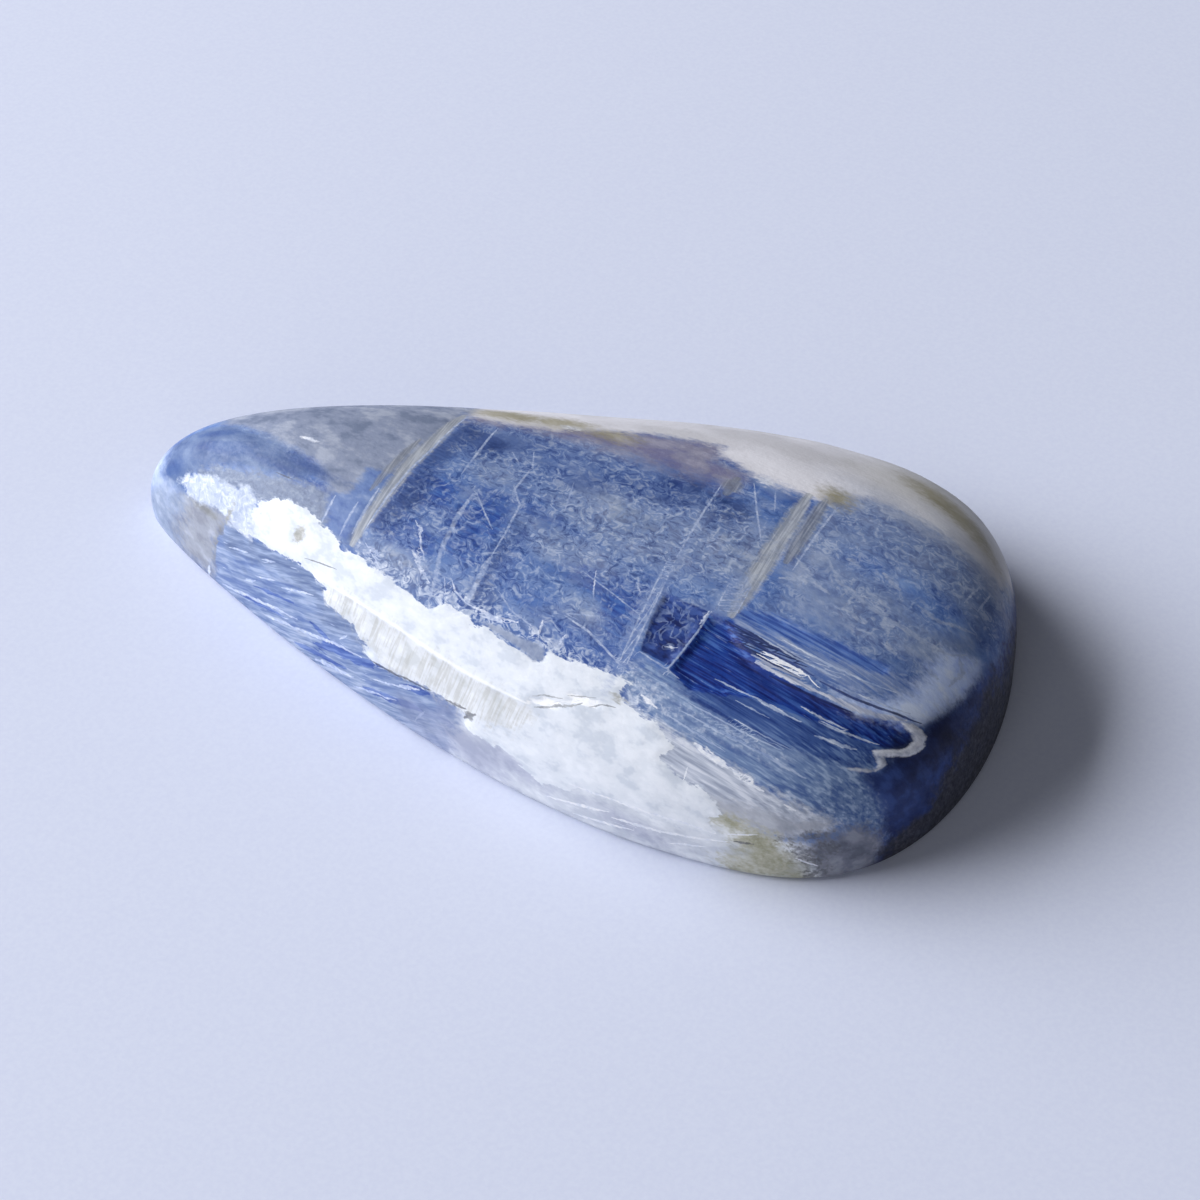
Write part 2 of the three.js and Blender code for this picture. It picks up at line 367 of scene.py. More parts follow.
# ---------------------------------------------------------------------------
# Low on the near side towards the butt the blades are bleached grey and lilac,
# with an olive iron stain and a brown-grey end.
# ---------------------------------------------------------------------------
patch("lower_grey", [(18.9, -83), (24, -84), (31, -80), (33, -84), (34.5, -86), (37, -112), (18.4, -112),
    (18.6, -93)], jag=0.1, seed=17)
paint("lower_grey", 0.45, 1.0, "cloud", "#ccd1da", "#dde1e7", "#eef1f5")
blobs("lower_lilac", (21.4, -91.5, 2.0, 0.55), (19.8, -95, 1.6, 0.9), (27.2, -95, 1.6, 0.4))
paint("lower_lilac", 0.5, 0.8, "cloud", "#a2a7be", "#b2b6ca", "#c2c7d6", 0.8)
patch("blue_below", [(25.5, -49), (26.4, -44), (27.4, -43), (28.4, -47), (31.15, -49), (34.15, -51),
    (36.2, -53), (36.35, -62.5), (37.1, -75), (37.2, -86), (36.4, -81), (35.4, -78), (34.2, -74.5),
    (32.8, -69.5), (30.1, -63.5), (27.6, -59.5), (26.2, -56)], jag=0.08, seed=21)
paint("blue_below", 0.16, 0.6, "streaks", "#50699c", "#6e86ae", "#9cafcc")
patch("below_haze", [(25.8, -43), (28.2, -49), (31, -52.5), (33.5, -57), (33, -62), (29, -58.5),
    (26.2, -57), (25.4, -50)], jag=0.2, seed=47)
paint("below_haze", 0.5, 1.2, "mottle", "#6e82a8", "#8799ba", "#bcc7da", 0.65)
patch("grey_zone", [(25.8, -56), (26.9, -58.5), (29.1, -61.5), (31.1, -65.5), (33.0, -70), (34.4, -74),
    (35.2, -76.5), (35.6, -80), (34.9, -83), (33.7, -85), (31.1, -82), (30.1, -78), (28.3, -73), (27.1, -69)],
    jag=0.1, seed=30)
paint("grey_zone", 0.3, 1.0, "streaks", "#a1a8b8", "#c0c6d2", "#dfe2ea", 0.95)
patch("grey_pale", [(29.3, -75.5), (31.1, -76), (33.1, -77), (35.2, -79), (34.8, -82), (33.4, -84.5),
    (32.3, -83.5), (30.9, -81.5)], jag=0.08, seed=31)
paint("grey_pale", 0.3, 0.8, "cloud", "#a0a4ae", "#b0b3bc", "#c4c7ce", 0.85)
patch("olive", [(29.9, -80.5), (31.5, -82), (33.2, -85), (33.7, -89), (34.65, -93.5), (35, -112),
    (31.4, -112), (31.2, -97), (31.8, -91), (31.2, -86.5)], jag=0.12, seed=32)
paint("olive", 0.6, 1.2, "cloud", "#b0b09e", "#c4c4b6", "#dadad2", 0.85)
blobs("olive_deep", (31.0, -82.5, 1.4, 0.3), (32.6, -88.5, 1.0, 0.5), (33.1, -95, 0.8, 0.8),
      (33.4, -92, 1.0, 0.25), (32.3, -99, 0.9, 0.3), (34.6, -101, 1.4, 0.3))
paint("olive_deep", 0.35, 1.4, "mottle", "#938f6c", "#a9a688", "#bfbca6", 0.7)
patch("dark_end", [(34.9, -84.5), (35.8, -82), (36.6, -82), (37.3, -87), (37.6, -112), (35.1, -112),
    (34.8, -97), (34.2, -90)], jag=0.2, seed=33)
paint("dark_end", 0.5, 1.1, "cloud", "#686a74", "#7e808a", "#9a9ca6", 0.9)
marks("smears", (0.12, [(33.4, -85.8), (34.4, -85.4)]), (0.22, [(34.3, -84.4), (35.2, -82.8)]),
      (0.24, [(34.8, -87.2), (35.5, -89), (35.7, -91)]), (0.12, [(33.6, -88.8), (34.8, -89.8)]),
      (0.12, [(34.3, -92.8), (35.3, -94)]), (0.14, [(34.6, -99), (35.4, -97.5)]), fine=False)
paint("smears", 0.16, 1.2, "streaks", "#55575e", "#666870", "#82848c", 0.65)

# ---------------------------------------------------------------------------
# The navy hollow: a pit where blades have cleaved out below the polish, with
# a dark window of clear deep blue in it and a jagged lip round its end, made
# bright by a painted reflection.
# ---------------------------------------------------------------------------
patch("pit_blue", [(29.2, -20), (31, -19), (33.2, -21), (35.7, -24.5), (36.4, -27), (37.4, -31),
    (37.0, -35), (35.2, -34.5), (33.2, -33.5), (31.8, -31), (29.2, -25.5)], jag=0.1, seed=41)
paint("pit_blue", 0.3, 0.6, "streaks", "#5f79b0", "#8093bc", "#a6b2cc", 0.8)
patch("pit_upper", [(29.2, -20.2), (30.4, -19.2), (33.15, -21.3), (35.7, -24.2), (35.8, -27.4),
    (33.6, -26.6), (30.75, -24.5), (29.2, -23)], jag=0.05, seed=19)
paint("pit_upper", 0.14, 0.5, "streaks", "#2e4c98", "#4c70b6", "#7690c4", 0.85)
patch("dark_block", [(25.95, -22), (28.05, -24), (27.8, -32), (27.25, -42), (25.9, -40.5), (25.85, -29.5)],
    jag=0.02, seed=20)
paint("dark_block", 0.05, 0.15, "hollow", "#0e1c54", "#1b3274", "#3c5596", 0.97)
patch("block_curls", [(26.0, -22.5), (27.9, -24.5), (27.6, -30), (27.4, -38), (26.0, -37)],
    jag=0.1, seed=42)
paint("block_curls", 0.2, 0.3, "mottle", "#62749e", "#7c8eb6", "#a4b2d0", 0.5, shown=("crease", 0.55, 0.95))
patch("navy_mid", [(27.5, -43), (29.4, -42), (31.65, -42.5), (33.35, -43), (35.4, -48), (36.6, -51.6),
    (36.5, -54), (36.2, -58.6), (34.4, -57.5), (31.4, -53.5), (29.4, -51), (28.2, -48.5)],
    jag=0.12, seed=34)
paint("navy_mid", 0.3, 0.7, "streaks", "#223c7a", "#3b5690", "#6680ae")
patch("navy", [(28.1, -24), (29.1, -24.2), (29.5, -28), (30.3, -32), (30.9, -34.6), (32.0, -36.3),
    (33.4, -38.4), (34.8, -40.6), (36.0, -42), (36.8, -42.6), (37.25, -46.5), (37.35, -50.5), (37.0, -52.2),
    (36.3, -51.2), (35.4, -49.4), (34.4, -47), (33, -45), (31, -44), (29.6, -46), (28.4, -46.6),
    (27.3, -43), (27.85, -32)], jag=0.04, seed=18)
paint("navy", 0.06, 0.15, "streaks", "#0c206a", "#1b3c8c", "#4166ac")
paint("navy", 0.06, 0.15, "mottle", "#4f6cae", "#6d88c2", "#9db0da", 0.6, shown=("hairs", 0.67, 0.77))
patch("navy_dark", [(29.9, -32.6), (31, -35.2), (32.4, -37.4), (34.4, -40.6), (36.6, -43.4), (36.9, -47),
    (35.2, -45.8), (33.4, -42.6), (31, -41), (30.4, -38.4), (29.9, -36)], jag=0.06, seed=43)
paint("navy_dark", 0.2, 0.3, "streaks", "#06134a", "#10266c", "#2a4892", 0.65)
# Painted reflection and painted light: a pale blue-white patch on the butt's shoulder, near white where the
# stone turns away from the window, stands in for the bright reflection of the board and room.
patch("veil", [(34.2, -37), (35.6, -37.4), (36.9, -33), (37.2, -24), (37.5, -14), (38.9, -12), (39.3, -24),
    (39.0, -33), (38.4, -40.5), (37.7, -43.8), (36.8, -42.2), (35, -40.2)], jag=0.12, seed=23)
paint("veil", 0.6, 0.9, "cloud", "#b8ccfa", "#cedeff", "#e0ebff", 0.95)
marks("lip_shadow", (0.09, [(28.9, -25), (30.4, -27.2), (32.6, -30)]),
      (0.05, [(30.9, -29.9), (32.0, -31.1), (32.9, -32.8)]),
      (0.06, [(33.4, -34.2), (34.6, -36.4), (35.6, -38), (36.6, -39.8), (37.5, -43)]),
      (0.10, [(29.1, -27), (30.2, -28.8), (31, -29.8)]),
      (0.05, [(31.4, -36.4), (33.2, -38.6), (34.8, -40.9)]),
      (0.08, [(29.3, -30), (30.3, -31.2), (31.2, -32.6), (32.4, -34.6)]))
paint("lip_shadow", 0.35, 0.4, "streaks", "#0b1440", "#142058", "#2c4282", 0.85)
marks("pale_strip", (0.10, [(30.6, -33.8), (31.6, -35), (32.6, -36.2), (33.5, -37.4)]),
      (0.12, [(33.5, -37.4), (34.6, -39), (36, -41), (36.9, -42)]),
      (0.05, [(30.4, -32.2), (31.4, -33.6), (32.6, -34.6)]))
paint("pale_strip", 0.35, 0.9, "streaks", "#929bb4", "#b2b8ca", "#dcdfe8", 0.9)
# Painted highlight: light caught in a narrow cleavage opening, painted in as near white.
marks("white_slit", (0.065, [(30.8, -30.4), (31.4, -31.3), (32.1, -32.2), (32.8, -33.3)]),
      (0.03, [(32.7, -33), (33.0, -34.6), (33.3, -35.6)]),
      (0.03, [(30.6, -31.6), (31.6, -32.8), (32.6, -34.2)]))
paint("white_slit", 0.25, 0.8, "mottle", "#e6eaf4", "#f8fafe", "#ffffff", 0.97)
patch("butt_navy", [(37.0, -53), (37.9, -54), (37.8, -44.6), (38.3, -41), (38.7, -37), (38.9, -28),
    (39.25, -12), (39.5, 6), (39.4, 39), (38.9, 62), (37.6, 74), (36.2, 84), (35.4, 112), (41, 112),
    (41, -112), (36.8, -112), (37.3, -90.5), (37.1, -84), (36.9, -74), (36.3, -65), (35.9, -60.5),
    (36.6, -60.5), (36.9, -57)], jag=0.04, seed=22)
paint("butt_navy", 0.3, 0.5, "bands", "#1b2c60", "#263970", "#3a5290")
patch("butt_grey", [(37.0, -112), (37.35, -92), (37.9, -90), (38.6, -86), (38.9, -70), (39.3, -50),
    (39.6, -20), (39.75, 5), (39.7, 40), (39.2, 74), (38.4, 90), (38.0, 112), (41, 112), (41, -112)],
    jag=0.15, seed=35)
paint("butt_grey", 0.35, 0.7, "streaks", "#2a2a30", "#3a3a40", "#505056", 0.9)
blobs("butt_deep", (38.5, -51, 0.9, 2.4), (37.2, -53, 0.7, 1.0))
paint("butt_deep", 0.6, 0.6, "bands", "#060c2c", "#0c1438", "#182450", 0.92)

# ---------------------------------------------------------------------------
# The snow-white band down the near flank: cleaved kyanite with quartz in it,
# opaque white, with the window's reflection painted into its brightest part.
# Its edges are broken in steps along the blades, and frayed.
# ---------------------------------------------------------------------------
patch("band_fray", [(12.4, -44), (14.5, -43), (16.5, -46), (18.4, -44.5), (20.6, -45.5), (23.2, -46.5),
    (26, -47.5), (27.4, -52), (27.6, -60), (25.6, -58), (22, -57), (17, -57), (13, -54)], jag=0.25, seed=44)
paint("band_fray", 0.5, 1.6, "mottle", "#a5b0c6", "#c2cbdc", "#e6ebf4", 0.8, shown=("fleck", 0.44, 0.60))
# White mineral, painted brighter still where the window's reflection lies on it.
patch("white_band", [(7.2, -48), (7.9, -43), (8.6, -41), (9.6, -41.5), (10.3, -45), (10.9, -46),
    (11.5, -49), (12, -50.5), (12.7, -47.8), (13.3, -50.3), (14.5, -51), (15.4, -53.6), (16.3, -54.5),
    (16.9, -52.5), (17.7, -50.4), (18.4, -50.6), (18.6, -53), (19.5, -51.6), (20.3, -53), (21.2, -54.2),
    (21.7, -55.6), (22.1, -54), (22.1, -50.4), (23, -50.2), (24.5, -49.3), (25.5, -50.2), (25.9, -51.4),
    (25.6, -53.6), (26.3, -57), (27.7, -60.5), (28.4, -64), (28.0, -69), (28.8, -72.5), (30.2, -76),
    (30.9, -80.5), (30.3, -85), (30.8, -88.6), (29.1, -90), (26.05, -87.6), (24.8, -88.6), (23.9, -92),
    (23.1, -93), (22, -90), (20.8, -88), (19.4, -88), (19.1, -86.4), (19.4, -82), (18.6, -81), (17.4, -81),
    (15.5, -83), (14.3, -84), (13.9, -82), (13.8, -77.6), (13.4, -78), (13, -75), (12.4, -73.6),
    (11.5, -74.6), (11.4, -67.6), (10.9, -67.4), (10.5, -65), (9.2, -65.8), (7.4, -66), (6.2, -67.4),
    (6.6, -60), (7.0, -54)], jag=0.10, seed=11)
paint("white_band", 0.12, 1.0, "fleck", "#b4bece", "#d2d8e2", "#e8ecf2", 0.75)
paint("white_band", 0.04, 0.45, "snow", "#d4dae2", "#e6eaef", "#eff2f6")
# Painted reflection: the window's reflection falls here, at the band's start, and is painted into its pale
# colour over the white mineral.
patch("band_tip", [(2.8, -47), (4.2, -42.6), (5.4, -43.6), (6.5, -43.4), (7.3, -49), (7.2, -58),
    (7.6, -66.5), (5.6, -67.6), (5.4, -63), (3.6, -63), (2.6, -57)], jag=0.25, seed=26)
paint("band_tip", 0.3, 1.0, "fleck", "#b4bfd2", "#c8d0de", "#e2e7f0", 0.92)
patch("band_lower", [(11.6, -66), (14, -66), (17.05, -67.8), (19.05, -69), (21.85, -69), (22.2, -72.5),
    (21.4, -79), (19.45, -82.5), (17.05, -81), (15.05, -83.5), (13.9, -79), (13, -74.5), (11.6, -73)],
    jag=0.05, seed=27)
paint("band_lower", 0.2, 0.6, "snow", "#d0d2d0", "#dfe1e2", "#edeff1", 0.75)
paint("band_lower", 0.6, 2.4, "cross", "#aeaca0", "#bdbbb0", "#cfcdc6", 0.4, shown=("cross", 0.57, 0.42))
patch("band_notch", [(18.7, -50.4), (20.1, -49.6), (22.0, -50), (22.0, -54.2), (21.65, -55), (20.8, -52.8),
    (19.6, -51.4)], jag=0.05, seed=46)
paint("band_notch", 0.1, 0.3, "cloud", "#7e8aa4", "#8f9ab2", "#a4aec2", 0.9)
# Painted highlight: pure white along the band's raised ridge, where it catches the window.
marks("ridge_line",
      (0.09, [(11.0, -65.6), (13.4, -65.4), (15.2, -66), (17.05, -67.4), (19.05, -68.4), (21.8, -68.4)]))
paint("ridge_line", 0.9, 0.2, "mottle", "#ffffff", "#ffffff", "#ffffff", 0.7)
# Painted highlight: the near white of this shallow pit is light caught on its cleaved sides.
patch("bright_pit", [(21.7, -68.4), (22.0, -66.4), (22.7, -64), (23.4, -62), (24.2, -60), (25.2, -57.4),
    (25.4, -58.6), (24.4, -61.2), (23.6, -63.4), (22.9, -66), (22.3, -68)], jag=0.13, seed=48)
paint("bright_pit", 0.08, 0.4, "mottle", "#f4f6fa", "#ffffff", "#ffffff", 0.97)
# Painted shade: a dark jagged line along the pit's lower edge, under its painted highlight.
marks("pit_edge", (0.05, [(22.3, -68.3), (22.8, -67), (23.1, -65.2), (23.7, -63.8), (24.1, -61.8)]),
      (0.035, [(24.6, -61.2), (25.1, -59.2), (25.5, -58.9)]),
      (0.03, [(22.1, -65.2), (22.5, -63.6), (23.2, -62.6)]), (0.03, [(23.6, -60.6), (24.6, -58.4)]))
paint("pit_edge", 0.5, 1.6, "mottle", "#83868a", "#9a9c9e", "#b8b9ba", 0.8)
blobs("specks", (9.6, -53.6, 0.24, 0.6), (5.65, -62.5, 0.07, 0.7), (25.6, -55.8, 0.3, 0.14))
paint("specks", 0.1, 0.5, "mottle", "#86836f", "#9c998c", "#bab7ae", 0.75)
marks("base_chips", (0.09, [(18.2, -81.4), (19.0, -80.6)]), (0.14, [(19.15, -83.6), (19.5, -81.2)]),
      (0.07, [(14.2, -84.2), (15.6, -83.4)]), (0.06, [(31.7, -89.6), (32.3, -89.2)]),
      (0.05, [(7.7, -29.6), (8.4, -30.2)]), (0.05, [(15.6, -83), (17.2, -81.4)]),
      (0.035, [(10.2, -61.4), (10.9, -60), (11.7, -58.8)]))
paint("base_chips", 0.5, 1.2, "mottle", "#3e4048", "#55575e", "#75767a", 0.75)

# ---------------------------------------------------------------------------
# Parting cracks straight across the blades, some filled with beige mineral,
# and the pale flakes that catch the light, and glints on needle-shaped cracks
# painted as pale marks.
# ---------------------------------------------------------------------------
marks("crack_shade", (0.30, [(14.75, 25), (14.35, 9), (13.9, -5), (13.45, -22.5), (12.95, -37)]),
      (0.12, [(30.35, 15), (30.2, 3.5), (30.05, -2)]),
      (0.16, [(18.75, -12), (18.75, -23), (18.5, -36), (18.3, -46)]), (0.10, [(15.95, 14), (15.8, 2)]),
      (0.12, [(25.95, -10), (25.85, -22)]), fine=False)
paint("crack_shade", 0.18, 0.5, "streaks", "#2c4276", "#3c5184", "#4f6496", 0.65)
marks("beige_cracks",
      (0.30, [(14.1, 31), (13.72, 9), (13.28, -5), (12.9, -22.5), (12.45, -37), (12.25, -46)]),
      (0.42, [(29.85, 21), (29.6, 6), (29.35, -6.5), (29.1, -17), (28.95, -22)]))
paint("beige_cracks", 0.45, 0.4, "hatch", "#979b9f", "#a8abae", "#bec1c3", 0.8)
marks("beige_fine", (0.3, [(30.6, 21), (30.4, 8), (30.2, -2)]),
      (0.16, [(13.1, 8), (12.6, -8), (12.2, -22)]), (0.4, [(26.7, 20), (26.6, 15)]))
paint("beige_fine", 0.5, 0.5, "hatch", "#767a82", "#878b92", "#a2a5aa", 0.7)
marks("pale_cracks", (0.05, [(18.0, 14), (18.3, 7), (18.05, -4), (18.6, -9), (18.55, -20), (18.4, -29)]),
      (0.11, [(18.4, -29), (18.2, -40), (18.05, -48)]), (0.05, [(15.9, 24), (15.75, 8), (15.6, -3)]),
      (0.05, [(26.2, 16), (26.0, 2), (25.85, -10)]),
      (0.04, [(25.85, -10), (25.8, -23.5), (25.65, -37), (25.5, -48)]),
      (0.04, [(25.55, -12), (25.4, -30), (25.2, -47)]),
      (0.04, [(28.08, -24), (27.85, -31), (27.5, -38.5), (27.15, -44.5)]),
      (0.05, [(10.75, -31), (10.55, -43)]), (0.05, [(11.85, -30), (11.55, -45)]),
      (0.05, [(12.5, -21), (12.1, -42)]),
      (0.05, [(14.3, 30), (13.85, 6), (13.4, -8), (13.0, -24), (12.6, -39)]),
      (0.05, [(31.2, 20), (30.9, 9), (30.6, -4)]),
      (0.10, [(16.5, -10), (16.3, -20), (16.2, -35), (16.4, -44), (16.4, -52)]),
      (0.03, [(28.95, -11), (28.8, -23)]), (0.03, [(28.65, -13), (28.55, -22.5)]),
      (0.03, [(28.35, -14), (28.25, -22.5)]), (0.03, [(29.25, -14), (29.1, -22)]),
      (0.04, [(16.6, -9.5), (17.3, -15.5), (17.9, -20)]),
      (0.04, [(25.9, -41), (26.9, -42.6), (27.7, -44.4)]), (0.04, [(27.5, 20), (28.1, 11), (28.8, 2)]),
      (0.04, [(28.5, 19), (28.8, 13)]), (0.04, [(17.2, 11.5), (17.8, 6)]),
      (0.04, [(19.3, -39.5), (20.1, -43.5), (21.0, -45)]),
      (0.05, [(22.4, -38.6), (23.5, -40.4), (24.6, -44), (25.4, -47)]),
      (0.03, [(22.4, -24), (24, -27.6), (25.4, -31)]), (0.04, [(20.3, 4), (20.5, -6)]),
      (0.04, [(22.5, -37.5), (23.6, -35.4)]), (0.04, [(37.9, 20), (37.6, 9)]),
      (0.04, [(38.4, 22), (38.2, 10)]))
blobs("glints", (8.4, -4.4, 0.34, 0.16), (8.7, -5.2, 0.2, 0.12))
paint("glints", 0.1, 0.5, "mottle", "#ccd4e2", "#e4e8f0", "#ffffff", 0.85)
blobs("crack_band", (25.62, -20, 0.24, 3.2), (25.5, -38, 0.24, 2.4), (28.65, -17.5, 0.5, 1.2))
paint("crack_band", 0.12, 0.4, "cloud", "#8093bc", "#90a2c6", "#a8b7d4", 0.5)
paint("pale_cracks", 0.5, 0.7, "mottle", "#8e9ec2", "#a8b5d0", "#cad3e4", 0.75)
# Painted glints: short pale marks where thin cracks catch the light.
marks("needles", (0.05, [(14.7, -28), (15.0, -30.6), (15.25, -35), (15.6, -39)]),
      (0.12, [(15.1, -38.6), (15.4, -40.4)]), (0.08, [(15.3, -41.5), (15.7, -43.6), (16.1, -45.6)]),
      (0.035, [(22.9, -23), (23.05, -27), (23.2, -30)]), (0.05, [(21.5, -43), (21.55, -47.5)]),
      (0.06, [(22.6, -44.5), (22.5, -47)]), (0.06, [(14.95, -28.6), (15.1, -30.4)]),
      (0.04, [(17.1, -42), (17.4, -45), (18.1, -47.2)]), (0.03, [(16.8, -43), (17.0, -47)]),
      (0.04, [(24.75, -22.5), (24.95, -24)]), (0.06, [(28.0, -24.2), (27.85, -27.6)]),
      (0.05, [(26.9, -37), (27.2, -36.4)]), (0.06, [(18.2, -47), (19.4, -47.4), (20.4, -46)]),
      (0.04, [(18.9, -48.8), (20.0, -47.6)]), (0.04, [(12.9, -44), (13.3, -46.5)]),
      (0.05, [(13.4, -47), (13.7, -49)]), (0.12, [(13.2, -44.4), (13.5, -45.4)]))
paint("needles", 0.4, 1.6, "mottle", "#b4c0dc", "#d2daec", "#f4f6fc", 0.75)
marks("blade_lines", (0.05, [(29.4, -55.5), (30.6, -56.8), (32.2, -58.8)]),
      (0.07, [(31.0, -57), (32.4, -59.5), (33.8, -63.4)]),
      (0.04, [(28.4, -53.5), (30.6, -56.2), (32, -58.6)]),
      (0.04, [(29.3, -41.5), (30.6, -43), (32.4, -45.4)]),
      (0.06, [(31.2, -44), (32.2, -45.6), (33, -46.8)]), (0.05, [(33, -42.4), (34, -44.6), (34.9, -46.4)]),
      (0.05, [(33.9, -46), (35.1, -48), (36.2, -50.6)]),
      (0.07, [(33.9, -50.2), (34.6, -51.2), (35.4, -52.6)]), (0.03, [(30.4, -46), (31.75, -48)]),
      (0.04, [(27.9, -56), (30.4, -61)]), (0.04, [(30.4, -26.6), (32.0, -29.2), (33.9, -31.6)]),
      (0.04, [(33.7, -33.4), (35.6, -36.4), (37, -39.4)]),
      (0.04, [(31.4, -25.6), (34, -29.4), (36.2, -32.4)]),
      (0.04, [(28.6, -50.6), (30.6, -53.6), (32.6, -56.4)]), (0.03, [(30.6, -51.4), (33.0, -55.6)]))
paint("blade_lines", 0.5, 1.4, "streaks", "#8fa2c6", "#b4c2da", "#e2e8f2", 0.8)
marks("soft_lines",
      (0.10, [(31.8, 2), (32.5, -3.5), (33.6, -6.5), (34.9, -9.5), (36.3, -12.4),
              (37.8, -14.8), (38.3, -12.5)]),
      (0.10, [(36.0, -2), (37.0, -4), (38.3, -1)]), (0.08, [(35.2, -18.2), (35.65, -19.8), (35.35, -17.2)]),
      (0.10, [(37.2, -22), (37.6, -25)]), (0.08, [(30.6, -1), (31.3, -4), (31.1, -8)]),
      (0.08, [(33.3, -7), (33.2, -11), (34.1, -13.5)]), (0.14, [(34.2, 3.5), (34.9, 1)]),
      (0.18, [(34.9, -9), (35.15, -13.5)]), (0.14, [(33.9, -4), (34.8, -6.2)]),
      (0.10, [(36.6, -16), (37.2, -19)]), (0.10, [(38.2, -15), (38.5, -21), (38.2, -27)]),
      (0.08, [(37.2, 14), (37.35, 12)]), (0.14, [(32.6, 4), (33.0, 3.4)]),
      (0.10, [(30.3, -8), (31.5, -6), (32.3, -8)]))
paint("soft_lines", 0.6, 1.2, "mottle", "#96a4c0", "#aab6cc", "#c4ccdb", 0.55)
marks("white_lines", (0.05, [(24.4, -88.6), (26.05, -88), (28.1, -88), (29.45, -87.6), (30.7, -88.4)]),
      (0.06, [(26.4, -94.4), (28.2, -93.6), (29.6, -92.6), (31.2, -90.6)]),
      (0.06, [(23.25, -97), (24.65, -95), (26.05, -93)]), (0.04, [(29.1, -73), (29.15, -70)]),
      (0.07, [(33.4, -73.6), (33.7, -74.6)]), (0.05, [(29.05, -96.5), (30.3, -94.5)]),
      (0.08, [(26.6, -53), (27.2, -54.6)]), (0.14, [(29.3, -61.8), (30.7, -65.4)]),
      (0.09, [(31, -66), (31.3, -67.8)]), (0.08, [(31.6, -66.8), (31.9, -68.2)]),
      (0.07, [(31.6, -68.6), (32.3, -70)]), (0.05, [(24.6, -98.6), (27.2, -96.4)]),
      (0.05, [(34.2, -93), (34.9, -95.6)]), (0.04, [(32.4, -85.5), (31.4, -87.5)]))
paint("white_lines", 0.4, 1.4, "mottle", "#dfe4ee", "#f2f4f9", "#ffffff", 0.85)
# Painted reflection: the two hooks are raised lips of the pit, and their pale grey-white is the light they
# reflect, painted in.
patch("hook", [(36.75, -42.2), (37.25, -43.6), (37.65, -46), (37.9, -49.4), (37.95, -53), (37.75, -55.6),
    (37.3, -56.2), (36.9, -55.2), (36.3, -54.6), (36.15, -53), (36.7, -52.6), (37.05, -53), (37.35, -52),
    (37.5, -50), (37.35, -47), (37.05, -45)], jag=0.03, seed=49)
paint("hook", 0.07, 0.2, "mottle", "#bcc0cc", "#d2d4dc", "#e2e4ea")
patch("small_hook", [(36.2, -54), (36.6, -55.2), (36.75, -58), (36.55, -60.4), (36.1, -61), (35.6, -60),
    (35.1, -59.2), (35.9, -58.8), (36.3, -59.6), (36.45, -58), (36.4, -56)], jag=0.03, seed=50)
paint("small_hook", 0.07, 0.2, "mottle", "#b4b9c8", "#c8ccd6", "#dcdfe6", 0.95)

# ---------------------------------------------------------------------------
# Through the middle the body is crushed like ice: tiny bent cracks that catch
# the light, with dark slits between them.
# ---------------------------------------------------------------------------
kept_clear = [
    "white_band", "band_tip", "band_notch", "cream_rim", "mauve", "near_flank", "lower_grey", "blue_below",
    "grey_zone", "olive", "dark_end", "navy", "navy_mid", "dark_block", "pit_upper", "butt_navy", "hook",
    "tip_blue", "tip_pale", "tip_beige", "top_grey"]
patch("crushed", [(12.8, -48), (13.4, -24), (13.9, -6), (15.4, 3), (17, 13), (19, 8), (21, 4), (24, 5),
    (26, 15), (28.8, 14), (29.2, 0), (29.0, -18), (28.4, -23), (25.7, -22), (25.4, -47), (20, -46),
    (16.6, -49)], jag=0.3, seed=51)
fields["crushed"] = np.minimum(fields["crushed"], -np.max([fields[name] for name in kept_clear], axis=0))
paint("crushed", 0.9, 1.0, "fleck", "#2c4276", "#748ab6", "#b4c0d6", 0.42, shown=("crease", 0.1, 0.9))

# ---------------------------------------------------------------------------
# The cut and polished skin: the dome with its shallow relief. The pit lies
# low, the lip stands proud, cracks are grooves, and the flank is splintery.
# ---------------------------------------------------------------------------
SWELL = 0.05                 # the polish's slow waves
RIPPLE = 0.015               # and its quick ones
PIT_DEPTH = 0.16
UPPER_DEPTH = 0.05           # the pit's upper side
BLOCK_DEPTH = 0.06           # the dark block at its end
LIP_HEIGHT = 0.07
CRACK_DEPTH = 0.02
BLADE_HEIGHT = 0.035         # splinters inside the pit
FLANK_HEIGHT = 0.05          # splinters along the near flank, the white band's ridge and its pit
BAND_HEIGHT = 0.03           # the white band stands a little proud


def ramp(low, high, value):
    """An S-curve from 0 at low to 1 at high."""
    part = np.clip((value - low) / (high - low), 0, 1)
    return part * part * (3 - 2 * part)


relief = SWELL * soft_noise(skin, (6, 6, 6), 31) + RIPPLE * soft_noise(skin, (1.8, 1.8, 1.8), 32)
blades = soft_noise(crystal, (3.0, 0.22, 0.22), 33) + 0.6 * soft_noise(crystal, (1.2, 0.12, 0.12), 34)
splinters = block_noise(crystal, (0.4, 0.2, 0.3), 35)
snow = soft_noise(skin, (0.8, 0.8, 0.8), 36)
relief -= ramp(0.0, 0.35, fields["navy"]) * (PIT_DEPTH + BLADE_HEIGHT * blades)
relief -= UPPER_DEPTH * ramp(0, 0.2, fields["pit_upper"]) + BLOCK_DEPTH * ramp(0, 0.2, fields["dark_block"])
relief += LIP_HEIGHT * ramp(-0.06, 0.1, np.maximum(fields["hook"], fields["small_hook"]))
relief -= CRACK_DEPTH * ramp(-0.25, 0.1, fields["beige_cracks"])
relief -= FLANK_HEIGHT * ramp(-0.15, 0.1, fields["bright_pit"]) * (0.7 + 0.3 * splinters)
relief += FLANK_HEIGHT * ramp(-0.3, 0.05, fields["ridge_line"])
